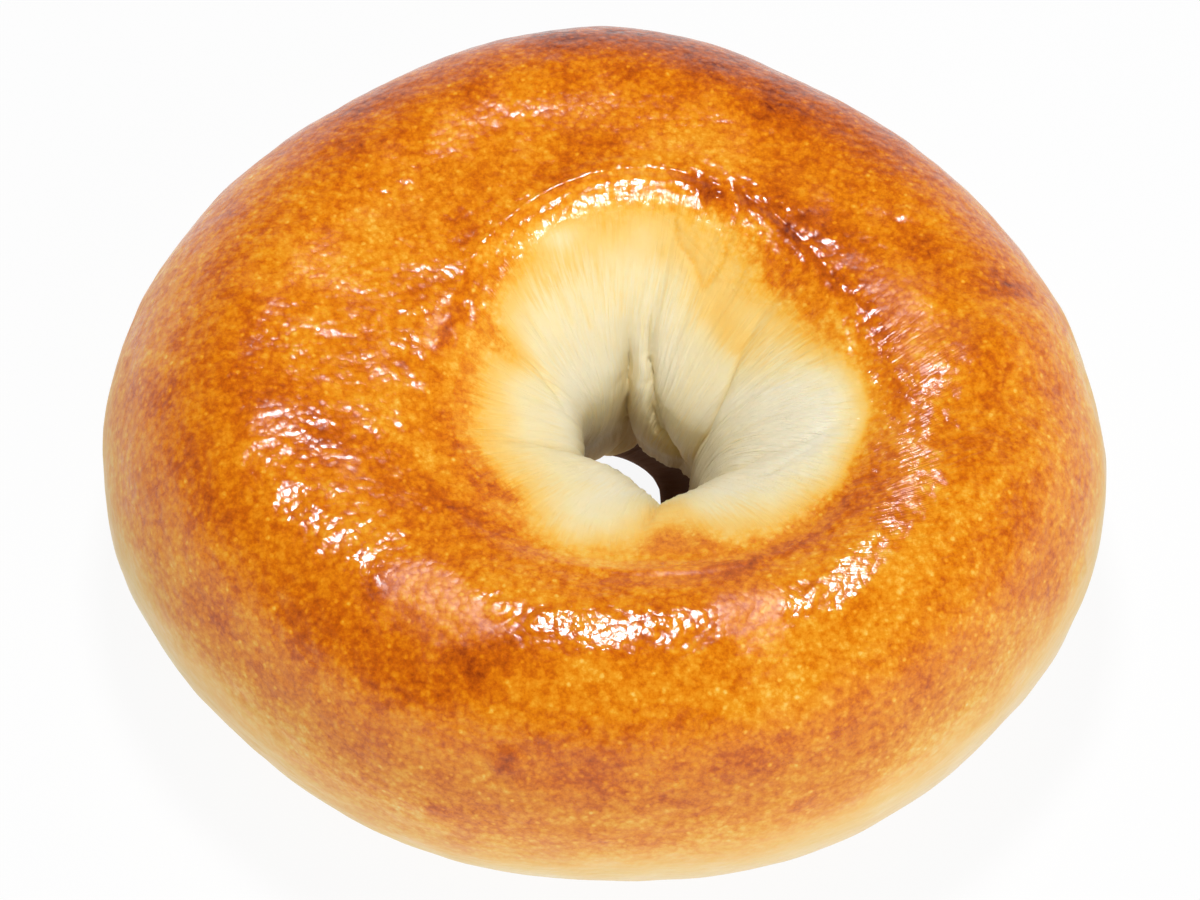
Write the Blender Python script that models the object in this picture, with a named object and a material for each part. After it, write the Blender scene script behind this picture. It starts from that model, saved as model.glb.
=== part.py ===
"""A plain bagel: one closed body of baked dough, uneven in outline, with a leaning, folded hole."""

import bpy
import numpy as np

MM = 0.001

# Overall sizes, in metres.
WIDTH = 0.1115   # the longest way across, along X
DEPTH = 0.101    # across it, along Y
HEIGHT = 0.0423  # from the flat underside to the crown

COLUMNS = 92     # faces round the ring
ROWS = 54        # faces round the dough

# How a ring departs from a circle: waves round it, share of the radius, degrees of one crest.
OUTLINE = (
    (2, 0.0530, -9.0),
    (3, 0.0150, -32.0),
    (4, 0.0150, -2.0),
    (5, 0.0042, 17.0),
    (7, 0.0042, -12.0),
)
MOUTH = (
    (1, 0.047, -90.0),
    (3, 0.047, -30.0),
    (4, 0.020, 45.0),
)

# Rings that the skin passes through, from the girth over the top, down the hole and back under:
# centre x and y, radius x and y, turn in degrees, height, shares of the outline's and the mouth's
# departures. In mm.
RINGS = {
    "girth": (0.0, 0.0, 52.5, 52.5, 0, 19.8, 1.00, 0.0),
    "side": (0.1, 0.0, 51.3, 51.3, 0, 29.2, 1.00, 0.0),
    "shoulder": (0.5, 0.0, 47.1, 47.1, 0, 37.0, 0.98, 0.0),
    "brow": (1.2, 0.0, 40.3, 40.3, 0, 41.0, 0.95, 0.0),
    "crown": (2.1, -0.6, 32.4, 32.4, 0, 41.7, 0.80, 0.3),
    "crease": (5.0, -0.9, 23.4, 24.9, 0, 40.6, 0.0, 1.0),
    "funnel": (4.6, -1.7, 16.9, 17.4, 0, 37.6, 0.0, 0.5),
    "collar": (4.3, -2.2, 11.6, 10.4, -40, 32.8, 0.0, 0.0),
    "lip": (4.4, -2.3, 8.1, 5.9, -40, 26.5, 0.0, 0.0),
    "waist": (3.0, -1.0, 7.8, 4.9, -40, 16.0, 0.0, 0.0),
    "throat": (2.35, 0.85, 7.4, 5.35, -41, 8.5, 0.0, 0.0),
    "rim": (-0.6, 3.3, 7.8, 6.9, -42, 2.6, 0.0, 0.0),
    "sole_inner": (0.0, 2.6, 15.5, 13.0, -42, 0.0, 0.20, 0.0),
    "sole_middle": (0.5, 0.5, 27.0, 27.0, 0, 0.0, 0.60, 0.0),
    "sole_outer": (0.2, 0.0, 38.4, 38.4, 0, 0.0, 0.90, 0.0),
    "heel": (0.1, 0.0, 46.0, 46.0, 0, 2.8, 0.95, 0.0),
    "flank": (0.0, 0.0, 50.9, 50.9, 0, 10.3, 1.00, 0.0),
}
ORDER = {name: place for place, name in enumerate(RINGS)}

# Where a ring isn't level: waves round it, rise in mm, degrees of one crest.
UNEVEN_HEIGHTS = {
    "brow": ((1, 0.41, 111.0), (2, 0.36, 0.0), (4, 0.21, -3.0)),
    "crown": ((1, 0.11, -66.0), (2, 0.22, 1.0), (4, 0.26, -5.0)),
    "crease": ((1, 0.48, 83.0), (2, 0.27, 74.0)),
}

EDGE_CREST = 98.0  # degrees at which the crust's edge over the funnel stands highest, there and opposite

# Folds down the hole: degrees round it at the funnel, collar, lip and waist, depth and width in mm.
FOLDS = (
    (87, 93, 96, 84, 3.0, 1.9),
    (81, 84, 78, 30, 1.5, 1.3),
    (38, 28, 16, 18, 1.1, 1.1),
    (-23, -34, -36, -45, 1.3, 1.3),
    (-92, -85, -82, -82, 1.4, 1.0),
    (-164, -157, -155, -150, 1.5, 1.2),
)

# Broad swells of the crust: degrees round the ring, level, breadth and rise in mm.
SWELLS = (
    (198, 2.6, 17.0, 0.9),
    (262, 3.3, 15.0, 0.6),
    (318, 3.2, 14.0, 0.7),
    (112, 2.4, 18.0, 0.5),
    (172, 7.4, 5.0, 0.8),
    (118, 8.6, 5.0, 1.9),
    (55, 8.3, 4.5, 1.3),
    (-8, 7.3, 5.0, 0.6),
    (-122, 8.0, 3.5, 1.3),
    (104, 10.8, 4.0, 1.6),
)

# The join of the dough's ends: a low roll beside a valley, running from the crease down the side.
JOIN = ((-12, -0.6, 5.0), (-2, 0.7, 4.0))  # degrees at the crown, rise and half width in mm
JOIN_LEAN = 5.0  # degrees that the join turns for each ring it crosses


def departures(theta, waves):
    return sum(share * np.cos(count * (theta - np.radians(crest))) for count, share, crest in waves)


def ring_points(theta):
    """Each ring's points at the angles given: an array of rings, angles and x, y, z, in metres."""
    rings = []
    for name, (x, y, radius_x, radius_y, turn, height, outline, mouth) in RINGS.items():
        turn = np.radians(turn)
        height = height + departures(theta, UNEVEN_HEIGHTS.get(name, ()))
        uneven = 1 + outline * departures(theta, OUTLINE) + mouth * departures(theta, MOUTH)
        along = radius_x * np.cos(theta - turn) * uneven
        across = radius_y * np.sin(theta - turn) * uneven
        px = x + along * np.cos(turn) - across * np.sin(turn)
        py = y + along * np.sin(turn) + across * np.cos(turn)
        rings.append(np.stack([px, py, height + 0 * theta], axis=1))
    return np.array(rings) * MM


def through_rings(rings, level):
    """Closed curves through the rings, at levels counted in rings from the girth."""
    step = np.floor(level).astype(int)
    t = (level - step)[:, None, None]
    a, b, c, d = (rings[(step + k) % len(rings)] for k in (-1, 0, 1, 2))
    points = b + 0.5 * t * (c - a + t * (2 * a - 5 * b + 4 * c - d + t * (3 * (b - c) + d - a)))
    points[..., 2] = points[..., 2].clip(0, None)
    return points


def row_levels(rings, rows):
    """Levels for the rows, closer together near the hole, where the faces are narrow."""
    level = np.linspace(0, len(rings), 4001)
    curve = through_rings(rings, level)
    step = np.linalg.norm(np.diff(curve, axis=0), axis=2).mean(axis=1)
    radius = np.linalg.norm(curve[:-1, :, :2], axis=2).mean(axis=1)
    run = np.concatenate([[0], np.cumsum(step / (radius + 40 * MM))])
    return np.interp(np.arange(rows) * run[-1] / rows, run, level)


def normals_of(points):
    """Outward directions over the closed grid of rows and columns."""
    round_dough = np.roll(points, -1, axis=0) - np.roll(points, 1, axis=0)
    round_ring = np.roll(points, -1, axis=1) - np.roll(points, 1, axis=1)
    normals = np.cross(round_ring, round_dough)
    return normals / np.linalg.norm(normals, axis=2, keepdims=True)


def near(value, centre, width):
    return np.exp(-(((value - centre) / width) ** 2))


def turn_between(angle, centre):
    """The angle from centre to angle, between half a turn back and half a turn on."""
    return (angle - centre + np.pi) % (2 * np.pi) - np.pi


def relief(theta, level, points):
    """How far the skin stands off the plain form, in metres."""
    angle, level = np.meshgrid(theta, level)
    centre = points[..., :2].mean(axis=1, keepdims=True)
    radius = np.linalg.norm(points[..., :2] - centre, axis=2) / MM
    crown, crease, lip, waist = (ORDER[name] for name in ("crown", "crease", "lip", "waist"))

    # The crust ends in a low brow round the funnel over a shallow valley, both lost at the sides.
    edge = 0.5 + 0.5 * np.cos(2 * (angle - np.radians(EDGE_CREST)))
    height = edge * (0.25 * near(level, crease - 0.15, 0.15) - 0.35 * near(level, crease + 0.15, 0.18))

    # Folds run down into the hole, shallow at the crease and deepest at the lip.
    for *degrees, depth, width in FOLDS:
        middle = np.interp(level, [lip - 2, lip - 1, lip, waist], np.radians(degrees))
        away = np.abs(turn_between(angle, middle)) * radius
        fade = np.interp(level, [crease + 0.3, lip - 1, lip, waist + 0.5, waist + 2.2], [0, 0.5, 1, 1, 0])
        height -= depth * fade * np.exp(-away / width)

    # Broad swells, and the join across one side.
    for degrees, middle, size, rise in SWELLS:
        away = turn_between(angle, np.radians(degrees)) * radius
        height += rise * near(away, 0, size) * near(level, middle, 0.9)
    for degrees, rise, size in JOIN:
        away = turn_between(angle, np.radians(degrees + JOIN_LEAN * (crown - level))) * radius
        height += rise * near(away, 0, size) * near(level, crown - 1.3, 1.6)
    return height * MM


def fit_to_sizes(points):
    """Moved and stretched so that the body spans the overall sizes, centred over its flat sole."""
    low, high = points.min(axis=(0, 1)), points.max(axis=(0, 1))
    centre = np.array([(low[0] + high[0]) / 2, (low[1] + high[1]) / 2, low[2]])
    return (points - centre) * (np.array([WIDTH, DEPTH, HEIGHT]) / (high - low))


def bagel_points(columns, rows):
    theta = np.arange(columns) * 2 * np.pi / columns
    rings = ring_points(theta)
    level = row_levels(rings, rows)
    plain = through_rings(rings, level)
    points = plain + normals_of(plain) * relief(theta, level, plain)[..., None]
    on_sole = (level > ORDER["sole_inner"] - 0.1) & (level < ORDER["sole_outer"] + 0.3)
    points[on_sole, :, 2] = 0
    points[..., 2] = points[..., 2].clip(0, None)
    return fit_to_sizes(points)


def crust_material():
    material = bpy.data.materials.new("crust")
    material.use_nodes = True
    shader = material.node_tree.nodes["Principled BSDF"]
    shader.inputs["Base Color"].default_value = (0.68, 0.30, 0.05, 1)
    shader.inputs["Roughness"].default_value = 0.35
    shader.inputs["Metallic"].default_value = 0.0
    return material


def main():
    for obj in list(bpy.data.objects):
        bpy.data.objects.remove(obj)
    collection = bpy.data.collections.new("bagel")
    bpy.context.scene.collection.children.link(collection)

    bpy.ops.mesh.primitive_torus_add(
        major_segments=COLUMNS, minor_segments=ROWS, major_radius=0.03, minor_radius=0.02
    )
    bagel = bpy.context.object
    bagel.name = "bagel"
    for home in list(bagel.users_collection):
        home.objects.unlink(bagel)
    collection.objects.link(bagel)

    # The torus keeps its vertices column by column, each from the girth over the top and back.
    points = bagel_points(COLUMNS, ROWS).transpose(1, 0, 2)
    bagel.data.vertices.foreach_set("co", points.astype(np.float32).ravel())
    bagel.data.update()
    bagel.data.shade_smooth()
    bagel.data.materials.append(crust_material())


main()
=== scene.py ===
import math

import bpy
import numpy as np
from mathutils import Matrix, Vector


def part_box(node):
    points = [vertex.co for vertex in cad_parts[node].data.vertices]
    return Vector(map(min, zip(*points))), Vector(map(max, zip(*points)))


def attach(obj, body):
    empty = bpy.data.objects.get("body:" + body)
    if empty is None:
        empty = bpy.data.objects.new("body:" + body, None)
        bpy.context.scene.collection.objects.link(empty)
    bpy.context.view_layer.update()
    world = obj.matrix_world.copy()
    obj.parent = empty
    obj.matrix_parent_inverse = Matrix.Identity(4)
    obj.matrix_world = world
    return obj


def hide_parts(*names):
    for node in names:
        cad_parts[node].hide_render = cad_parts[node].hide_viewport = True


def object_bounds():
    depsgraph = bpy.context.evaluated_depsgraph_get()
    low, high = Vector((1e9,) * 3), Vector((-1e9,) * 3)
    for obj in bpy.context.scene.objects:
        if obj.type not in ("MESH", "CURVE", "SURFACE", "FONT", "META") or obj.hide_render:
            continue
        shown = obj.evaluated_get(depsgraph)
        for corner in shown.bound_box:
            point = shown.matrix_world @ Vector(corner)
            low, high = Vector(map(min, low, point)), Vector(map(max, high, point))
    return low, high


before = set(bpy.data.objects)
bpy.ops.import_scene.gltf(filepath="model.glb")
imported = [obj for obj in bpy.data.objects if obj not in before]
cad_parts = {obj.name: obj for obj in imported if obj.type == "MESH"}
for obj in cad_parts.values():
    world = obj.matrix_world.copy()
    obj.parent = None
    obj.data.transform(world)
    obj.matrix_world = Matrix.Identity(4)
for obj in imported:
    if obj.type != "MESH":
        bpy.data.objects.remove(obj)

MM = 0.001
CAD_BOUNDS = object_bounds()

# ---------------------------------------------------------------- the form, as the solid has it

# How a ring departs from a circle: waves round it, share of the radius, degrees of one crest.
OUTLINE = (
    (2, 0.0530, -9.0),
    (3, 0.0150, -32.0),
    (4, 0.0150, -2.0),
    (5, 0.0042, 17.0),
    (7, 0.0042, -12.0),
)
MOUTH = (
    (1, 0.047, -90.0),
    (3, 0.047, -30.0),
    (4, 0.020, 45.0),
)

# Rings that the skin passes through, from the girth over the top, down the hole and back under:
# centre x and y, radius x and y, turn in degrees, height, shares of the outline's and the mouth's
# departures. In mm.
RINGS = {
    "girth": (0.0, 0.0, 52.5, 52.5, 0, 19.8, 1.00, 0.0),
    "side": (0.1, 0.0, 51.3, 51.3, 0, 29.2, 1.00, 0.0),
    "shoulder": (0.5, 0.0, 47.1, 47.1, 0, 37.0, 0.98, 0.0),
    "brow": (1.2, 0.0, 40.3, 40.3, 0, 41.0, 0.95, 0.0),
    "crown": (2.1, -0.6, 32.4, 32.4, 0, 41.7, 0.80, 0.3),
    "crease": (5.0, -0.9, 23.4, 24.9, 0, 40.6, 0.0, 1.0),
    "funnel": (4.6, -1.7, 16.9, 17.4, 0, 37.6, 0.0, 0.5),
    "collar": (4.3, -2.2, 11.6, 10.4, -40, 32.8, 0.0, 0.0),
    "lip": (4.4, -2.3, 8.1, 5.9, -40, 26.5, 0.0, 0.0),
    "waist": (3.0, -1.0, 7.8, 4.9, -40, 16.0, 0.0, 0.0),
    "throat": (2.35, 0.85, 7.4, 5.35, -41, 8.5, 0.0, 0.0),
    "rim": (-0.6, 3.3, 7.8, 6.9, -42, 2.6, 0.0, 0.0),
    "sole_inner": (0.0, 2.6, 15.5, 13.0, -42, 0.0, 0.20, 0.0),
    "sole_middle": (0.5, 0.5, 27.0, 27.0, 0, 0.0, 0.60, 0.0),
    "sole_outer": (0.2, 0.0, 38.4, 38.4, 0, 0.0, 0.90, 0.0),
    "heel": (0.1, 0.0, 46.0, 46.0, 0, 2.8, 0.95, 0.0),
    "flank": (0.0, 0.0, 50.9, 50.9, 0, 10.3, 1.00, 0.0),
}
ORDER = {name: place for place, name in enumerate(RINGS)}
LEVELS = len(RINGS)

# Where a ring isn't level: waves round it, rise in mm, degrees of one crest.
UNEVEN_HEIGHTS = {
    "brow": ((1, 0.41, 111.0), (2, 0.36, 0.0), (4, 0.21, -3.0)),
    "crown": ((1, 0.11, -66.0), (2, 0.22, 1.0), (4, 0.26, -5.0)),
    "crease": ((1, 0.48, 83.0), (2, 0.27, 74.0)),
}
EDGE_CREST = 98.0  # degrees at which the crust's edge over the funnel stands highest, there and opposite
# The low brow there and the valley inside it: levels from the crease, half width in levels, rise in mm.
BROW = ((-0.15, 0.15, 0.25), (0.15, 0.18, -0.35))

# Folds down the hole: degrees round it at the funnel, collar, lip and waist, depth and width in mm.
FOLDS = (
    (87, 93, 96, 84, 3.0, 1.9),
    (81, 84, 78, 30, 1.5, 1.3),
    (38, 28, 16, 18, 1.1, 1.1),
    (-23, -34, -36, -45, 1.3, 1.3),
    (-92, -85, -82, -82, 1.4, 1.0),
    (-164, -157, -155, -150, 1.5, 1.2),
)

# Broad swells of the crust: degrees round the ring, level, breadth and rise in mm.
SWELLS = (
    (198, 2.6, 17.0, 0.9),
    (262, 3.3, 15.0, 0.6),
    (318, 3.2, 14.0, 0.7),
    (112, 2.4, 18.0, 0.5),
    (172, 7.4, 5.0, 0.8),
    (118, 8.6, 5.0, 1.9),
    (55, 8.3, 4.5, 1.3),
    (-8, 7.3, 5.0, 0.6),
    (-122, 8.0, 3.5, 1.3),
    (104, 10.8, 4.0, 1.6),
)

# The join of the dough's ends: a low roll beside a valley, running from the crease down the side.
JOIN = ((-12, -0.6, 5.0), (-2, 0.7, 4.0))  # degrees at the crown, rise and half width in mm
JOIN_LEAN = 5.0  # degrees that the join turns for each ring it crosses

COLUMNS = 400    # faces round the ring
ROWS = 248       # faces round the dough

# How closely the rows lie, by level: close where the crust meets the funnel, wide on the sole.
ROW_DENSITY = (
    (0, 1.0), (3, 1.2), (4.3, 1.5), (4.8, 3.0), (5.2, 3.0), (5.7, 1.8), (8.0, 1.6),
    (9.5, 0.9), (11, 0.5), (14, 0.35), (15, 0.7), (17, 1.0),
)


def departures(theta, waves):
    return sum(share * np.cos(count * (theta - np.radians(crest))) for count, share, crest in waves)


def ring_points(theta):
    """Each ring's points at the angles given: an array of rings, angles and x, y, z, in metres."""
    rings = []
    for name, (x, y, radius_x, radius_y, turn, height, outline, mouth) in RINGS.items():
        turn = np.radians(turn)
        height = height + departures(theta, UNEVEN_HEIGHTS.get(name, ()))
        uneven = 1 + outline * departures(theta, OUTLINE) + mouth * departures(theta, MOUTH)
        along = radius_x * np.cos(theta - turn) * uneven
        across = radius_y * np.sin(theta - turn) * uneven
        px = x + along * np.cos(turn) - across * np.sin(turn)
        py = y + along * np.sin(turn) + across * np.cos(turn)
        rings.append(np.stack([px, py, height + 0 * theta], axis=1))
    return np.array(rings) * MM


def through_rings(rings, level):
    """Closed curves through the rings, at levels counted in rings from the girth."""
    step = np.floor(level).astype(int)
    t = (level - step)[:, None, None]
    a, b, c, d = (rings[(step + k) % len(rings)] for k in (-1, 0, 1, 2))
    points = b + 0.5 * t * (c - a + t * (2 * a - 5 * b + 4 * c - d + t * (3 * (b - c) + d - a)))
    points[..., 2] = points[..., 2].clip(0, None)
    return points


def row_levels(rings, rows):
    """Levels for the rows, as close together as ROW_DENSITY asks."""
    level = np.linspace(0, len(rings), 4001)
    curve = through_rings(rings, level)
    step = np.linalg.norm(np.diff(curve, axis=0), axis=2).mean(axis=1)
    density = np.interp(level[:-1], *zip(*ROW_DENSITY))
    run = np.concatenate([[0], np.cumsum(step * density)])
    return np.interp(np.arange(rows) * run[-1] / rows, run, level)


def normals_of(points):
    """Outward directions over the closed grid of rows and columns."""
    round_dough = np.roll(points, -1, axis=0) - np.roll(points, 1, axis=0)
    round_ring = np.roll(points, -1, axis=1) - np.roll(points, 1, axis=1)
    normals = np.cross(round_ring, round_dough)
    return normals / np.linalg.norm(normals, axis=2, keepdims=True)


def near(value, centre, width):
    return np.exp(-(((value - centre) / width) ** 2))


def turn_between(angle, centre):
    """The angle from centre to angle, between half a turn back and half a turn on."""
    return (angle - centre + np.pi) % (2 * np.pi) - np.pi


def ease(value, start, end):
    """0 up to start, 1 from end on, smooth between them."""
    t = ((value - start) / (end - start)).clip(0, 1)
    return t * t * (3 - 2 * t)


def relief(theta, level, points):
    """How far the skin stands off the plain form, in metres: what the solid has too."""
    angle, level = np.meshgrid(theta, level)
    centre = points[..., :2].mean(axis=1, keepdims=True)
    radius = np.linalg.norm(points[..., :2] - centre, axis=2) / MM
    crown, crease, lip, waist = (ORDER[name] for name in ("crown", "crease", "lip", "waist"))

    # The crust ends in a low brow round the funnel over a shallow valley, both lost at the sides.
    edge = 0.5 + 0.5 * np.cos(2 * (angle - np.radians(EDGE_CREST)))
    height = edge * sum(rise * near(level, crease + past, width) for past, width, rise in BROW)

    # Folds run down into the hole, shallow at the crease and deepest at the lip.
    for *degrees, depth, width in FOLDS:
        middle = np.interp(level, [lip - 2, lip - 1, lip, waist], np.radians(degrees))
        away = np.abs(turn_between(angle, middle)) * radius
        fade = np.interp(level, [crease + 0.3, lip - 1, lip, waist + 0.5, waist + 2.2], [0, 0.5, 1, 1, 0])
        height -= depth * fade * np.exp(-away / width)

    # Broad swells, and the join across one side.
    for degrees, middle, size, rise in SWELLS:
        away = turn_between(angle, np.radians(degrees)) * radius
        height += rise * near(away, 0, size) * near(level, middle, 0.9)
    for degrees, rise, size in JOIN:
        away = turn_between(angle, np.radians(degrees + JOIN_LEAN * (crown - level))) * radius
        height += rise * near(away, 0, size) * near(level, crown - 1.3, 1.6)
    return height * MM


# ---------------------------------------------------------------- fine relief and browning

# Lumps all over the skin, and finer ones on the crust alone: rise and size in mm, seed of the noise.
LUMPS = ((0.16, 7.0, 1), (0.07, 3.1, 2))
CRUST_LUMPS = (0.045, 1.5, 3)

# Blisters: degrees, level, radius and height in mm, and whether a ring stands round a dent.
BLISTERS = (
    (70, 5.12, 1.7, 0.50, False),
    (62, 5.00, 1.2, 0.30, False),
    (52, 4.98, 1.0, 0.25, False),
    (-112, 3.75, 1.0, 0.25, True),
    (-140, 2.45, 1.0, 0.30, False),
    (-132, 2.15, 0.9, 0.25, False),
    (-103, 1.60, 1.3, 0.25, True),
    (-150, 3.55, 0.8, 0.20, False),
    (-118, 2.9, 0.7, 0.2, False),
    (164, 4.97, 1.1, 0.25, False),
    (172, 4.95, 0.9, 0.22, False),
    (-20, 0.75, 1.4, 0.25, True),
    (30, 3.4, 1.0, 0.2, False),
    (100, 3.1, 0.9, 0.2, False),
    (135, 3.8, 0.8, 0.2, False),
)

# Where the crust's edge runs over the funnel: degrees and level.
CRUST_EDGE = (
    (-162, 4.98), (-143, 4.95), (-126, 4.84), (-111, 4.77), (-89, 4.71), (-68, 4.77), (-50, 4.82),
    (-31, 5.00), (-15, 5.00), (4, 4.93), (19, 4.84), (42, 4.98), (64, 5.00), (89, 4.93), (111, 4.88),
    (134, 4.88), (157, 4.91), (178, 4.93),
)

# Relief along that edge, a bead between grooves at the back and a groove in front: degrees of its
# middle, half its breadth in radians, levels past the edge, half width in levels, rise in mm, and
# how much of a rise the lumps along it add.
EDGE_RELIEF = (
    (95, 1.0, 0.00, 0.045, 0.20, 0.16),
    (95, 1.0, 0.10, 0.060, -0.16, -0.10),
    (95, 1.0, 0.22, 0.060, 0.06, -0.10),
    (-85, 0.8, 0.02, 0.120, -0.20, -0.10),
)

# Creases in the funnel's dough: depth and half width in mm, change in doneness, which is painted shade
# darkening along the crease, and the places, degrees and level, that each runs through.
CREASES = (
    (1.6, 0.30, 0.05, ((94, 6.4), (95, 7.4), (96, 8.1), (86, 9.0), (74, 9.9))),
    (1.2, 0.28, 0.04, ((83, 6.3), (85, 6.8), (84, 7.5), (71, 8.3), (57, 8.6), (40, 8.7), (28, 9.1))),
    (0.35, 0.22, 0.08, ((86, 5.2), (82, 5.5), (79, 5.8), (72, 6.0), (64, 6.3))),
    (0.30, 0.22, 0.10, ((62, 5.5), (61, 5.9), (63, 6.25))),
    (0.45, 0.20, 0.08, ((38, 5.9), (34, 6.6), (28, 7.0), (23, 7.35), (16, 7.9), (18, 8.6))),
    (0.50, 0.26, 0.04, ((-12, 5.2), (-16, 5.5), (-22, 5.9), (-26, 6.5), (-34, 6.9), (-36, 7.9))),
    (0.35, 0.25, 0.03, ((-16, 5.3), (-18, 5.5), (-27, 5.9), (-37, 6.2), (-43, 6.6))),
    (0.45, 0.28, 0.04, ((-92, 5.8), (-88, 6.5), (-86, 7.1), (-84, 7.8))),
    (0.45, 0.28, 0.03, ((-160, 5.5), (-159, 6.1), (-158, 6.8), (-156, 7.3), (-156, 7.8))),
    (0.40, 0.40, 0.02, ((157, 6.2), (158, 6.8), (164, 7.2), (176, 7.5))),
    (0.30, 0.18, 0.06, ((126, 6.15), (126, 6.7))),
    (0.25, 0.18, 0.06, ((119, 6.3), (116, 6.9))),
    (0.20, 0.18, 0.05, ((144, 5.9), (144, 6.65))),
)

# Where the pale dough of the hole ends over its undercut foot, painted dark as shade: degrees and level.
DARK_EDGE = (
    (-180, 10.4), (-60, 9.8), (0, 9.35), (12, 9.46), (27, 9.8), (46, 9.97), (60, 9.94), (72, 9.85),
    (76, 10.4), (80, 11.0), (110, 11.3), (150, 11.0),
)

# Where the crust sets in above the pale side, and where it ends in the funnel: degrees and level.
OUTER_EDGE = (
    (-180, 0.75), (-160, 0.70), (-140, 0.35), (-120, 0.10), (-100, -0.05), (-80, 0.0), (-60, 0.2),
    (-40, 0.5), (-20, 0.75), (0, 1.1), (15, 1.2), (30, 0.9), (60, 0.5), (90, 0.3), (120, 0.5), (150, 0.7),
)
INNER_EDGE = (
    (-180, 5.60), (-160, 5.75), (-140, 5.80), (-125, 5.60), (-115, 5.25), (-105, 5.25), (-95, 5.40),
    (-85, 5.80), (-75, 5.85), (-65, 5.40), (-50, 5.28), (-40, 5.25), (-30, 5.15), (-20, 5.05),
    (-10, 5.0), (0, 5.1), (10, 5.4), (20, 5.6), (30, 5.75), (45, 5.75), (60, 5.6), (75, 5.5), (85, 5.35),
    (95, 5.30), (110, 5.35), (125, 5.3), (140, 5.4), (150, 5.5), (160, 5.9), (168, 5.7),
)
# How far the golden tint reaches into the funnel beyond that edge, in levels.
GOLDEN_REACH = (
    (-180, 1.0), (-140, 0.9), (-110, 0.8), (-90, 1.2), (-70, 1.1), (-50, 0.6), (-20, 0.3), (0, 0.5),
    (20, 0.9), (50, 1.2), (80, 0.9), (110, 1.1), (150, 1.1),
)

# How far the skin is baked: by levels past the outer edge, by levels past the inner edge as shares of
# the golden reach; and painted shade that darkens the dough deeper down the hole, by level.
BAKED_OUTSIDE = ((-2.5, 0.10), (-1.2, 0.12), (-0.4, 0.26), (0.1, 0.40), (0.6, 0.52), (1.5, 0.60))
BAKED_INSIDE = ((-0.6, 0.62), (-0.2, 0.52), (0.0, 0.40), (0.4, 0.25), (1.0, 0.11), (2.0, 0.0))
SHADE_DOWN_HOLE = ((7.5, 0.0), (8.5, 0.05), (9.8, 0.14), (11.5, 0.0))
BAKED_SOLE = 0.42  # and under the heel

# Patches baked darker or paler: degrees, level, half breadth round the ring and half height down
# the dough in mm, change in doneness.
PATCHES = (
    (-112, 3.0, 4.0, 3.5, 0.22),
    (-131, 3.3, 1.5, 3.5, 0.16),
    (-103, 1.6, 1.2, 1.5, 0.20),
    (-110, 1.2, 2.0, 1.2, 0.14),
    (-110, 0.6, 1.5, 1.0, 0.14),
    (-83, 1.15, 2.2, 1.2, 0.14),
    (-145, 1.5, 3.0, 2.0, 0.12),
    (-130, 2.3, 9.0, 3.0, 0.08),
    (-160, 2.5, 8.0, 2.5, 0.08),
    (-174, 3.6, 6.0, 4.0, 0.12),
    (-75, 4.75, 9.0, 1.8, 0.08),
    (-55, 4.95, 6.0, 1.6, 0.08),
    (-140, 4.9, 14.0, 1.2, 0.08),
    (12, 2.7, 2.0, 5.0, 0.20),
    (22, 3.5, 3.0, 2.0, 0.16),
    (35, 4.5, 12.0, 3.0, 0.14),
    (85, 2.6, 16.0, 4.0, 0.18),
    (90, 3.3, 2.5, 2.5, 0.12),
    (60, 3.1, 10.0, 2.5, 0.10),
    (128, 2.4, 6.0, 2.5, 0.10),
    (120, 3.9, 6.0, 3.0, 0.05),
    (155, 4.0, 9.0, 4.0, -0.10),
    (-5, 3.6, 4.0, 6.0, -0.06),
    (-40, 2.9, 9.0, 5.0, -0.05),
    (72, 5.12, 3.0, 1.4, 0.30),
    (60, 5.02, 2.2, 1.0, 0.18),
    (48, 5.0, 2.5, 0.9, 0.12),
    (28, 4.9, 6.0, 1.2, 0.14),
    (168, 4.98, 3.5, 1.0, 0.22),
    (-178, 4.98, 2.5, 0.8, 0.14),
    (162, 6.0, 1.8, 3.2, 0.16),
    (45, 6.6, 5.0, 2.2, 0.12),
    (-84, 5.7, 3.5, 2.2, 0.10),
    (60, 2.2, 24.0, 5.5, 0.14),
    (140, 1.4, 14.0, 4.0, 0.16),
    (100, 1.7, 14.0, 5.0, 0.12),
    (-60, 3.0, 16.0, 9.0, -0.06),
    (-165, 4.0, 8.0, 4.0, 0.05),
    (-120, -0.4, 24.0, 5.0, 0.17),
    (-84, 6.6, 4.0, 4.0, 0.10),
    (40, 5.5, 5.0, 2.0, 0.14),
    (-140, 5.5, 4.0, 2.0, 0.10),
    (70, 6.0, 5.0, 3.0, 0.06),
    (180, 6.0, 4.0, 2.5, 0.06),
    (-175, 5.1, 5.0, 1.5, -0.10),
    (5, 5.0, 9.0, 1.5, -0.12),
    (110, 2.0, 22.0, 6.0, 0.08),
    (100, -0.4, 45.0, 9.0, 0.16),
    (-150, 5.05, 8.0, 1.5, -0.08),
    (-100, 5.05, 6.0, 1.5, -0.07),
    (-20, 5.0, 6.0, 1.5, -0.08),
    (140, 5.0, 10.0, 1.5, -0.08),
    (120, 5.5, 2.5, 1.6, -0.16),
    (-10, 5.5, 4.0, 2.5, -0.10),
)

# The gloss of the crust and how much it wavers, and the gloss of the funnel's dough.
CRUST_GLOSS = 0.24
GLOSS_WAVER = 0.12
DOUGH_GLOSS = 0.3

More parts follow.
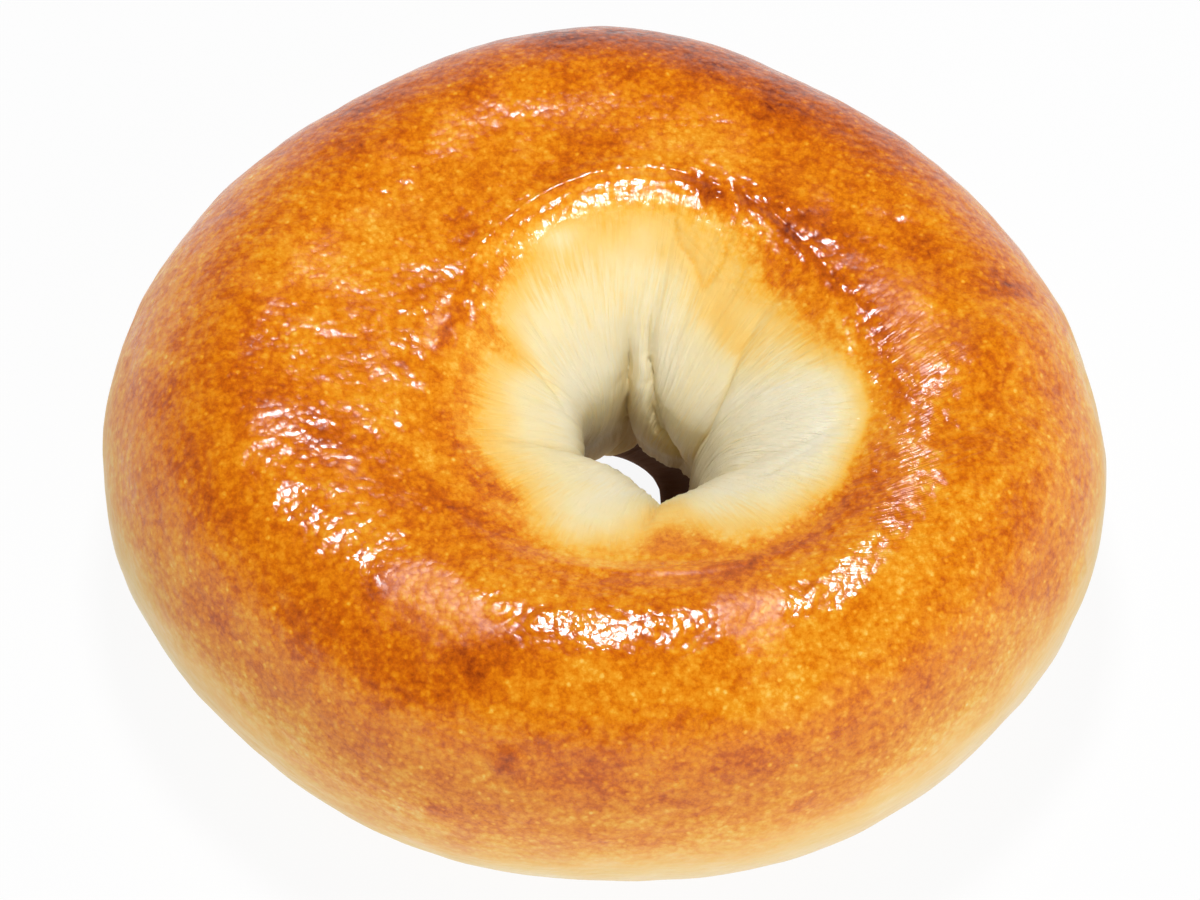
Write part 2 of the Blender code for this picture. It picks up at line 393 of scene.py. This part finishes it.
# Where the glaze lies thicker or thinner: degrees, level, half breadth round the ring and half height
# down the dough in mm, change in its gloss.
GLAZE = (
    (-152, 3.3, 3.5, 3.5, 0.70),
    (-141, 3.5, 3.0, 5.0, 0.75),
    (180, 3.9, 4.5, 2.5, 0.40),
    (-92, 3.7, 5.5, 3.5, 0.80),
    (-80, 3.4, 5.0, 3.0, 0.60),
    (-104, 3.7, 1.5, 1.5, 0.55),
    (-116, 4.2, 4.0, 2.5, 0.30),
    (-55, 3.5, 4.0, 2.5, 0.70),
    (-43, 3.7, 4.5, 3.0, 0.75),
    (-50, 2.6, 2.5, 2.0, 0.50),
    (-33, 3.3, 3.0, 3.0, 0.45),
    (-23, 3.1, 1.8, 6.0, 0.45),
    (-12, 3.5, 1.8, 7.0, 0.45),
    (85, 4.95, 26.0, 1.5, 0.40),
    (140, 4.95, 9.0, 1.5, 0.35),
    (48, 5.1, 4.5, 1.6, 0.65),
    (27, 5.0, 7.0, 1.8, 0.65),
    (3, 4.9, 5.0, 2.0, 0.45),
    (137, 5.3, 3.0, 3.0, 0.40),
    (128, 5.9, 2.5, 2.0, 0.40),
    (105, 5.25, 15.0, 1.6, 0.40),
    (72, 5.6, 4.0, 3.0, 0.35),
    (50, 5.9, 4.0, 3.0, 0.40),
    (25, 5.5, 4.0, 2.5, 0.45),
    (5, 5.3, 3.0, 2.5, 0.40),
    (157, 5.3, 3.0, 2.0, 0.30),
    (-150, 5.4, 6.0, 3.0, 0.25),
    (5, 2.9, 6.0, 4.0, -0.15),
    (12, 4.2, 5.0, 4.0, -0.20),
    (-4, 4.2, 6.0, 4.0, -0.10),
    (-28, 4.2, 4.0, 2.5, -0.20),
    (-67, 3.7, 4.5, 4.0, -0.50),
    (-78, 4.8, 9.0, 1.6, -0.35),
    (-122, 3.5, 6.5, 4.0, -0.50),
    (165, 3.6, 8.0, 5.0, -0.10),
    (168, 4.9, 4.0, 2.0, -0.20),
)

# Where the pale band on the side is fainter: degrees, half breadth in radians, share that it loses.
BAND_GAPS = ((-115, 0.9, 0.45), (100, 1.2, 0.50))

# Where the threads lean along the join: radians round the ring, half breadth, how much more than it.
LEAN_MIDDLE, LEAN_BREADTH, LEAN_SHARE = -0.35, 0.8, 2.2


def round_ring(degrees, table):
    """A value given at some degrees round the ring, read at others."""
    places, values = np.array(sorted((place % 360, value) for place, value in table)).T
    return np.interp(degrees % 360, places, values, period=360)


def lattice_noise(points, size, seed):
    """Smooth noise from -1 to 1 with lumps about this size, at points in the same unit."""
    cells = 48
    values = np.random.default_rng(seed).uniform(-1, 1, (cells, cells, cells))
    place = points / size
    cell = np.floor(place).astype(int)
    t = place - cell
    t = t * t * (3 - 2 * t)
    total = np.zeros(points.shape[:-1])
    for corner in np.ndindex(2, 2, 2):
        share = np.prod(np.where(corner, t, 1 - t), axis=-1)
        total += share * values[tuple(np.moveaxis((cell + corner) % cells, -1, 0))]
    return total


def round_tube(angle, radius, along):
    """Coordinates for noise round a tube and along it, which meet where the turn closes."""
    return np.stack([np.cos(angle) * radius, np.sin(angle) * radius, along], axis=-1)


class Skin:
    """The grid of the skin with the coordinates that relief and browning are given in."""

    def __init__(self, columns, rows):
        self.theta = np.arange(columns) * 2 * np.pi / columns
        rings = ring_points(self.theta)
        self.row_level = row_levels(rings, rows)
        self.plain = through_rings(rings, self.row_level)
        self.angle, self.level = np.meshgrid(self.theta, self.row_level)
        # Past the flank the level counts down to the girth from below.
        self.level = np.where(self.level > ORDER["heel"] - 0.5, self.level - LEVELS, self.level)
        self.degrees = np.degrees(self.angle)
        centre = self.plain[..., :2].mean(axis=1, keepdims=True)
        self.radius = np.linalg.norm(self.plain[..., :2] - centre, axis=2) / MM
        step = np.linalg.norm(np.diff(self.plain, axis=0), axis=2) / MM
        self.run = np.concatenate([np.zeros((1, columns)), np.cumsum(step, axis=0)])
        self.length = self.run[-1].mean()
        self.creases = [
            (depth, width, change, *self.away_from(line)) for depth, width, change, line in CREASES
        ]

    def beside(self, angle, breadth):
        """1 at this angle round the ring, fading over this breadth, both in radians."""
        return near(turn_between(self.angle, angle), 0, breadth)

    def from_place(self, degrees, level):
        """How far each point lies from a place, round the ring and down the dough, in mm."""
        column = int(round(degrees % 360 / 360 * len(self.theta))) % len(self.theta)
        across = turn_between(self.angle, np.radians(degrees)) * self.radius
        run = np.interp(level % LEVELS, self.row_level, self.run[:, column])
        down = self.run - run
        down = (down + self.length / 2) % self.length - self.length / 2
        return across, down

    def with_patches(self, values, patches):
        """The values with soft patches added, each an oval that fades outwards."""
        for degrees, level, breadth, size, change in patches:
            across, down = self.from_place(degrees, level)
            values = values + change * np.exp(-((across / breadth) ** 2) - (down / size) ** 2)
        return values

    def away_from(self, line):
        """How far each point lies from a line of places, in mm, and the share of its length passed."""
        degrees, level = np.array(line, dtype=float).T
        share = np.linspace(0, 1, 16 * len(line))
        stops = np.linspace(0, 1, len(line))
        level = np.interp(share, stops, level)
        angle = np.radians(np.interp(share, stops, degrees))
        passed = np.arange(len(share))
        course = through_rings(ring_points(angle), level)[passed, passed]
        away, along = np.full(self.level.shape, np.inf), np.zeros(self.level.shape)
        for part, point in zip(share, course):
            gap = np.linalg.norm(self.plain - point, axis=2) / MM
            along = np.where(gap < away, part, along)
            away = np.minimum(gap, away)
        return away, along


def fine_relief(skin):
    """What the finished crust adds to the solid's form, in mm."""
    level, degrees = skin.level, skin.degrees
    crease, throat, rim = (ORDER[name] for name in ("crease", "throat", "rim"))
    position = skin.plain / MM
    crust = ease(level, 0.3, 1.5) * (1 - ease(level, crease - 0.1, crease + 0.3))
    dough = ease(level, crease, crease + 0.6) * (1 - ease(level, throat, rim))
    side = ease(level, -2, -1) * (1 - ease(level, 0.5, 1.5))

    height = sum(rise * lattice_noise(position, size, seed) for rise, size, seed in LUMPS)
    rise, size, seed = CRUST_LUMPS
    height += crust * rise * lattice_noise(position, size, seed)

    edge = round_ring(degrees, CRUST_EDGE) + 0.03 * lattice_noise(position, 4.0, 9)
    lumpy = lattice_noise(position, 1.6, 4)
    for middle, breadth, past, width, rise, added in EDGE_RELIEF:
        along_edge = skin.beside(np.radians(middle), breadth) * near(level, edge + past, width)
        height += (rise + added * lumpy) * along_edge

    # Fine creases run down the funnel and across the join, and lumps lie along the side.
    down = round_tube(skin.angle, 60, level)
    height -= dough * 0.22 * np.abs(lattice_noise(down, 4.5, 5)) ** 0.7
    height -= dough * 0.12 * np.abs(lattice_noise(down, 1.9, 6))
    join = skin.beside(np.radians(-8), 0.42) * crust
    height -= join * 0.10 * np.abs(lattice_noise(down, 2.2, 7))
    height += side * 0.07 * lattice_noise(round_tube(skin.angle, 12, skin.run * 0.8), 1.0, 8)

    # The creases placed one by one deepen from their start and fade towards their end.
    for depth, width, _, away, along in skin.creases:
        fade = ease(along, 0, 0.4) * (1 - 0.6 * ease(along, 0.7, 1))
        height -= depth * fade * np.exp(-away / width)

    # The dough of the hole ends a millimetre proud of its foot.
    height -= 1.0 * ease(level - round_ring(degrees, DARK_EDGE), 0, 0.25) * (1 - ease(level, 10.3, rim))

    for place, at, radius, rise, ringed in BLISTERS:
        across, along = skin.from_place(place, at)
        away = np.hypot(across, along) / radius
        bulge = near(away, 0.9, 0.4) if ringed else near(away, 0, 0.8)
        height += rise * bulge - 0.3 * rise * near(away, 1.6, 0.4)
    return height


def doneness(skin):
    """How far each point is baked, from 0, pale dough, to 1, dark brown."""
    level, degrees = skin.level, skin.degrees
    position = skin.plain / MM
    wander = 0.14 * lattice_noise(position, 6.0, 11) + 0.07 * lattice_noise(position, 2.5, 12)
    outside = level - round_ring(degrees, OUTER_EDGE) + wander
    inside = level - round_ring(degrees, INNER_EDGE) + wander
    reach = round_ring(degrees, GOLDEN_REACH)

    base = np.interp(outside, *zip(*BAKED_OUTSIDE))
    base += 0.03 * near(level, 3.0, 1.0) + 0.03 * near(level, ORDER["crease"] - 0.1, 0.25)
    funnel = np.interp(inside / reach, *zip(*BAKED_INSIDE))
    base = np.where(level > 2, np.minimum(base, funnel), base)
    # Painted shade: the dough darkens deeper down the hole.
    base += np.interp(level, *zip(*SHADE_DOWN_HOLE))
    # Painted shade: each crease is coloured darker along its course.
    for _, width, change, away, along in skin.creases:
        base += change * ease(along, 0, 0.4) * near(away, 0, 1.6 * width)
    base = skin.with_patches(base, PATCHES)

    # Under the heel the crust is golden where it lay on the tray.
    sole = ease(level, 10.5, 12) + ease(-level, 1.0, 2.2) * (level < 0)
    return base * (1 - sole) + sole * (BAKED_SOLE + 0.05 * lattice_noise(position, 5, 13))


def glossiness(skin):
    """How thick and even the glaze lies, from 0 to 1."""
    level, crease = skin.level, ORDER["crease"]
    gloss = CRUST_GLOSS * ease(level, 0.8, 2.6) + GLOSS_WAVER * lattice_noise(skin.plain / MM, 3.0, 14)
    on_crust = 1 - ease(level, crease, crease + 0.5)
    gloss = np.where(level > 4, DOUGH_GLOSS + (gloss - DOUGH_GLOSS) * on_crust, gloss)
    gloss *= 1 - ease(level, ORDER["lip"], ORDER["waist"])
    return skin.with_patches(gloss, GLAZE).clip(0, 1)


def pale_band(skin):
    """Where the side stayed pale under the crust, from 0 to 1."""
    level = skin.level
    band = 1 - ease(level - round_ring(skin.degrees, OUTER_EDGE), -1.3, 0.6)
    for degrees, breadth, share in BAND_GAPS:
        band *= 1 - share * skin.beside(np.radians(degrees), breadth)
    return band * (level < 2) * (1 - ease(-level, 1.6, 2.6))


def strand_coordinates(skin, run):
    """Coordinates for threads along the creases, down the funnel and leaning across the join."""
    leaning = LEAN_SHARE * (ORDER["crease"] - skin.level).clip(0) * skin.beside(LEAN_MIDDLE, LEAN_BREADTH)
    return round_tube(skin.angle - np.radians(JOIN_LEAN) * leaning, 30, run * 0.16)


def fit_to_box(points, low, high):
    """Moved and stretched so that the skin spans the solid's box."""
    least, most = points.min(axis=(0, 1)), points.max(axis=(0, 1))
    return low + (points - least) * (high - low) / (most - least)


def skin_mesh(name, skin, points, values):
    """A mesh over the closed grid, with one attribute for each named set of values."""
    columns, rows = len(skin.theta), len(skin.row_level)
    column, row = np.meshgrid(np.arange(columns), np.arange(rows), indexing="ij")

    def index(c, r):
        return (c % columns) * rows + r % rows

    corners = [
        index(column, row), index(column + 1, row), index(column + 1, row + 1), index(column, row + 1)
    ]
    places = points.transpose(1, 0, 2).reshape(-1, 3)
    faces = np.stack(corners, axis=-1).reshape(-1, 4)
    mesh = bpy.data.meshes.new(name)
    mesh.from_pydata(places.tolist(), [], faces.tolist())
    mesh.shade_smooth()
    for key, value in values.items():
        if value.ndim == 3:
            attribute = mesh.attributes.new(key, "FLOAT_VECTOR", "POINT")
            attribute.data.foreach_set("vector", value.transpose(1, 0, 2).astype(np.float32).ravel())
        else:
            attribute = mesh.attributes.new(key, "FLOAT", "POINT")
            attribute.data.foreach_set("value", value.T.astype(np.float32).ravel())
    return mesh


def make_bagel(material):
    skin = Skin(COLUMNS, ROWS)
    out = relief(skin.theta, skin.row_level, skin.plain) + fine_relief(skin) * MM
    points = skin.plain + normals_of(skin.plain) * out[..., None]
    on_sole = (skin.row_level > ORDER["sole_inner"] - 0.1) & (skin.row_level < ORDER["sole_outer"] + 0.3)
    points[on_sole, :, 2] = 0
    points[..., 2] = points[..., 2].clip(0, None)
    low, high = (np.array(corner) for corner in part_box("bagel"))
    points = fit_to_box(points, low, high)

    level = skin.level
    run = np.where(level < 0, skin.run - skin.length, skin.run)
    values = {
        "doneness": doneness(skin),
        "gloss": glossiness(skin),
        "band": pale_band(skin),
        "dough": ease(level, ORDER["crease"] - 0.05, ORDER["crease"] + 0.6),
        "join": skin.beside(np.radians(-22), 0.5) * ease(level, 2.0, 3.0),
        # Masks for painted shade: darker down the hole, and near black on its undercut foot.
        "depth": ease(level, 7.9, ORDER["throat"]),
        "foot": ease(level - round_ring(skin.degrees, DARK_EDGE), 0, 0.25) * (level < 12),
        "grain": round_tube(skin.angle, 45, run),
        "strands": strand_coordinates(skin, run),
    }
    mesh = skin_mesh("bagel_crust", skin, points, values)
    mesh.materials.append(material)
    bagel = bpy.data.objects.new("bagel_crust", mesh)
    bpy.context.scene.collection.objects.link(bagel)
    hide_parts("bagel")
    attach(bagel, "root")


# ---------------------------------------------------------------- materials


def colour(red, green, blue):
    """A linear colour from its 0 to 255 display values."""
    shares = (red / 255, green / 255, blue / 255)
    return tuple(c / 12.92 if c <= 0.04045 else ((c + 0.055) / 1.055) ** 2.4 for c in shares) + (1,)


CRUST_COLOURS = (  # doneness and colour, pale dough to dark brown
    (0.00, (241, 231, 199)),
    (0.12, (243, 224, 168)),
    (0.25, (244, 204, 116)),
    (0.38, (244, 184, 70)),
    (0.50, (237, 155, 32)),
    (0.62, (226, 128, 10)),
    (0.75, (202, 96, 6)),
    (0.88, (170, 72, 6)),
    (1.00, (122, 42, 6)),
)


BEIGE_DARK, BEIGE_LIGHT = (216, 178, 124), (232, 206, 162)  # the pale side and the threads on it
# Painted shade: the tint that darkens the dough down the hole, and the near-black colour of its foot.
HOLE_SHADE_TINT = (186, 162, 112)  # multiplies the dough's colour down in the hole
FOOT_SHADE_COLOUR = (84, 46, 12)   # the undercut foot of the hole


class Nodes:
    """Short calls for building a material's node tree."""

    def __init__(self, name):
        self.material = bpy.data.materials.new(name)
        self.material.use_nodes = True
        self.tree = self.material.node_tree
        self.shader = self.tree.nodes["Principled BSDF"]

    def set(self, socket, value):
        if isinstance(value, bpy.types.NodeSocket):
            self.tree.links.new(value, socket)
        else:
            socket.default_value = value

    def attribute(self, name, output="Fac"):
        node = self.tree.nodes.new("ShaderNodeAttribute")
        node.attribute_name = name
        return node.outputs[output]

    def position(self):
        return self.tree.nodes.new("ShaderNodeTexCoord").outputs["Object"]

    def math(self, operation, a, b, c=0.0):
        node = self.tree.nodes.new("ShaderNodeMath")
        node.operation = operation
        for socket, value in zip(node.inputs, (a, b, c)):
            self.set(socket, value)
        return node.outputs["Value"]

    def times(self, a, b):
        return self.math("MULTIPLY", a, b)

    def add(self, total, a, b):
        """The total and the product of the other two."""
        return self.math("MULTIPLY_ADD", a, b, total)

    def spread(self, value, low, high, to_low=0.0, to_high=1.0):
        """The value's range from low to high, spread over another range."""
        node = self.tree.nodes.new("ShaderNodeMapRange")
        for socket, entry in zip(node.inputs, (value, low, high, to_low, to_high)):
            self.set(socket, entry)
        return node.outputs["Result"]

    def stretch(self, vector, scale):
        node = self.tree.nodes.new("ShaderNodeMapping")
        self.set(node.inputs["Vector"], vector)
        node.inputs["Scale"].default_value = scale
        return node.outputs["Vector"]

    def noise(self, vector, scale, detail=2.0, roughness=0.5, distortion=0.0):
        node = self.tree.nodes.new("ShaderNodeTexNoise")
        self.set(node.inputs["Vector"], vector)
        node.inputs["Scale"].default_value = scale
        node.inputs["Detail"].default_value = detail
        node.inputs["Roughness"].default_value = roughness
        node.inputs["Distortion"].default_value = distortion
        return node.outputs["Fac"]

    def cells(self, vector, scale):
        node = self.tree.nodes.new("ShaderNodeTexVoronoi")
        self.set(node.inputs["Vector"], vector)
        node.inputs["Scale"].default_value = scale
        return node.outputs["Distance"]

    def ramp(self, value, stops):
        node = self.tree.nodes.new("ShaderNodeValToRGB")
        elements = node.color_ramp.elements
        while len(elements) < len(stops):
            elements.new(0.5)
        for element, (place, shade) in zip(elements, stops):
            element.position = place
            element.color = colour(*shade)
        self.set(node.inputs["Fac"], value)
        return node.outputs["Color"]

    def mix(self, share, a, b, blend="MIX"):
        node = self.tree.nodes.new("ShaderNodeMix")
        node.data_type = "RGBA"
        node.blend_type = blend
        self.set(node.inputs[0], share)
        self.set(node.inputs[6], a)
        self.set(node.inputs[7], b)
        return node.outputs[2]

    def bump(self, height, unit):
        """The relief of a height, given in this many metres."""
        node = self.tree.nodes.new("ShaderNodeBump")
        node.inputs["Distance"].default_value = unit
        self.set(node.inputs["Height"], height)
        return node.outputs["Normal"]


def crust_material():
    n = Nodes("bagel_crust")
    place = n.position()
    grain = n.attribute("grain", "Vector")
    strands = n.attribute("strands", "Vector")
    baked = n.attribute("doneness")
    gloss = n.attribute("gloss")
    band = n.attribute("band")
    dough = n.attribute("dough")
    join = n.attribute("join")
    depth = n.attribute("depth")
    foot = n.attribute("foot")

    # Patterns, finer and finer, with scales in lumps to a metre, and threads along the strands.
    clouds = n.noise(place, 140, 3, 0.55)
    lumps = n.noise(place, 480, 1, 0.5)
    pores = n.cells(place, 620)
    grains = n.noise(place, 850, 3, 0.6)
    pebbles = n.cells(place, 1200)
    specks = n.noise(place, 2800, 3, 0.7)
    threads = n.noise(strands, 1.7, 3, 0.6)

    # Mottling: each pattern's range changes the doneness by so much on the crust, and by this share
    # of it on pale dough. The pores are pale. Threads streak the dough in places.
    crust = n.spread(baked, 0.28, 0.5)
    done = baked
    for pattern, low, high, least, most, on_dough in (
        (clouds, 0.3, 0.7, -0.10, 0.10, 0.3),
        (grains, 0.3, 0.7, -0.10, 0.10, 0.05),
        (specks, 0.3, 0.7, -0.07, 0.07, 0.05),
        (pores, 0.08, 0.20, -0.16, 0.0, 0.0),
        (pebbles, 0.1, 0.7, -0.06, 0.06, 0.0),
    ):
        done = n.add(done, n.spread(pattern, low, high, least, most), n.spread(crust, 0, 1, on_dough, 1))
    streaks = n.times(n.spread(threads, 0.35, 0.65, -0.06, 0.06), n.spread(clouds, 0.4, 0.65))
    done = n.add(done, streaks, dough)
    shade = n.ramp(done, CRUST_COLOURS)

    # The pale side under the crust with threads round it, painted shade down the hole, and the near-black
    # painted shade of its foot.
    rings = n.noise(n.stretch(grain, (0.16, 0.16, 1.6)), 0.9, 3, 0.6, 0.3)
    beige = n.mix(n.spread(rings, 0.35, 0.75), colour(*BEIGE_DARK), colour(*BEIGE_LIGHT))
    shade = n.mix(n.times(band, n.spread(clouds, 0.3, 0.7, 0.6, 0.8)), shade, beige)
    shade = n.mix(depth, shade, colour(*HOLE_SHADE_TINT), "MULTIPLY")
    # Painted shade: the undercut foot is painted near-black brown.
    shade = n.mix(foot, shade, colour(*FOOT_SHADE_COLOUR))
    n.set(n.shader.inputs["Base Color"], shade)

    # Relief in mm: pebbles, lumps and specks, threads down the funnel and across the join. The glaze
    # beads where it lies thick, and runs smoother again where it is thickest.
    beaded = n.math("MAXIMUM", n.spread(dough, 0, 1, 0.5, 0.2), n.spread(gloss, 0.1, 0.8))
    beaded = n.times(beaded, n.spread(gloss, 0.65, 1.0, 1.0, 0.5))
    height = n.times(n.spread(pebbles, 0, 1, 0.095, 0), beaded)
    height = n.add(height, n.spread(lumps, 0, 1, 0, 0.36), beaded)
    height = n.add(height, specks, n.spread(dough, 0, 1, 0.02, 0.01))
    height = n.add(height, threads, n.times(dough, 0.14))
    height = n.add(height, threads, n.times(join, 0.20))
    n.set(n.shader.inputs["Normal"], n.bump(height, MM))

    # Roughness: dull where there is no glaze, on dough and on the foot, and a little grainy.
    dull = n.times(dough, n.spread(gloss, 0.3, 0.8, 0.30, 0.04))
    dull = n.math("ADD", dull, n.spread(gloss, 0, 0.25, 0.42, 0.12))
    dull = n.add(dull, foot, 0.5)
    n.set(n.shader.inputs["Roughness"], n.add(dull, n.spread(grains, 0.3, 0.7, -1, 1), 0.02))
    n.shader.inputs["Specular IOR Level"].default_value = 0.5
    n.shader.inputs["Subsurface Weight"].default_value = 0.08
    n.shader.inputs["Subsurface Radius"].default_value = (1.0, 0.5, 0.2)
    n.shader.inputs["Subsurface Scale"].default_value = 0.002
    return n.material


def floor_material():
    n = Nodes("pale_floor")
    n.set(n.shader.inputs["Base Color"], (0.06, 0.06, 0.06, 1))
    n.shader.inputs["Roughness"].default_value = 0.8
    n.shader.inputs["Specular IOR Level"].default_value = 0.1
    n.shader.inputs["Emission Color"].default_value = (1, 1, 1, 1)
    n.shader.inputs["Emission Strength"].default_value = FLOOR_GLOW
    return n.material


# ---------------------------------------------------------------- stage, light and camera

AIM = Vector((-0.00036, -0.00173, 0.0215))
CAMERA_ELEVATION = 60.0
CAMERA_DISTANCE = 0.45
CAMERA_LENS = 121.1
CAMERA_SENSOR = 36.0

# Name, azimuth from the back towards the right and elevation in degrees, distance and breadth in
# metres, watts, and whether the glaze mirrors it: only the small key light does.
SOFT_LIGHTS = (
    ("key", 0, 79.3, 0.375, 0.060, 1.02, True),
    ("fill", 150, 32, 0.80, 0.60, 3.0, False),
)
LAMP_COLOUR = (0.96, 0.98, 1.02)
SKY = ((0.0, 0.97), (0.15, 0.70), (0.5, 0.22), (0.8, 0.05))  # sine of the elevation and strength there
FLOOR_GLOW = 0.925  # the floor is a light table: it sheds this much light of its own


def direction(azimuth, elevation):
    """From the bagel towards this azimuth, measured from the back towards the right."""
    azimuth, elevation = math.radians(azimuth), math.radians(elevation)
    level = math.cos(elevation)
    return Vector((math.sin(azimuth) * level, math.cos(azimuth) * level, math.sin(elevation)))


def add_floor():
    bpy.ops.mesh.primitive_circle_add(vertices=96, radius=2.5, fill_type="NGON")
    floor = bpy.context.object
    floor.name = "floor"
    floor.location.z = CAD_BOUNDS[0][2]
    floor.data.materials.append(floor_material())


def add_lights():
    for name, azimuth, elevation, distance, breadth, watts, mirrored in SOFT_LIGHTS:
        light = bpy.data.lights.new(name, "AREA")
        light.size = breadth
        light.energy = watts
        light.color = LAMP_COLOUR
        lamp = bpy.data.objects.new(name, light)
        bpy.context.scene.collection.objects.link(lamp)
        lamp.visible_glossy = mirrored
        lamp.location = AIM + direction(azimuth, elevation) * distance
        lamp.rotation_euler = (AIM - lamp.location).to_track_quat("-Z", "Y").to_euler()


def add_room():
    """A plain studio: bright at the height of the table, dark overhead."""
    world = bpy.data.worlds.new("room")
    world.use_nodes = True
    tree = world.node_tree
    upward = tree.nodes.new("ShaderNodeSeparateXYZ")
    tree.links.new(tree.nodes.new("ShaderNodeTexCoord").outputs["Generated"], upward.inputs[0])
    ramp = tree.nodes.new("ShaderNodeValToRGB")
    while len(ramp.color_ramp.elements) < len(SKY):
        ramp.color_ramp.elements.new(0.5)
    for element, (place, strength) in zip(ramp.color_ramp.elements, SKY):
        element.position = place
        element.color = (strength, strength, strength, 1)
    tree.links.new(upward.outputs["Z"], ramp.inputs["Fac"])
    tree.links.new(ramp.outputs["Color"], tree.nodes["Background"].inputs["Color"])
    bpy.context.scene.world = world


def add_camera():
    data = bpy.data.cameras.new("camera")
    data.sensor_width = CAMERA_SENSOR
    data.lens = CAMERA_LENS
    data.clip_start = 0.01
    camera = bpy.data.objects.new("camera", data)
    bpy.context.scene.collection.objects.link(camera)
    towards_camera = direction(180, CAMERA_ELEVATION)
    camera.location = AIM + towards_camera * CAMERA_DISTANCE
    camera.rotation_euler = (-towards_camera).to_track_quat("-Z", "Y").to_euler()
    bpy.context.scene.camera = camera


bpy.context.scene.view_settings.view_transform = "Standard"
make_bagel(crust_material())
add_floor()
add_lights()
add_room()
add_camera()

bpy.context.view_layer.update()
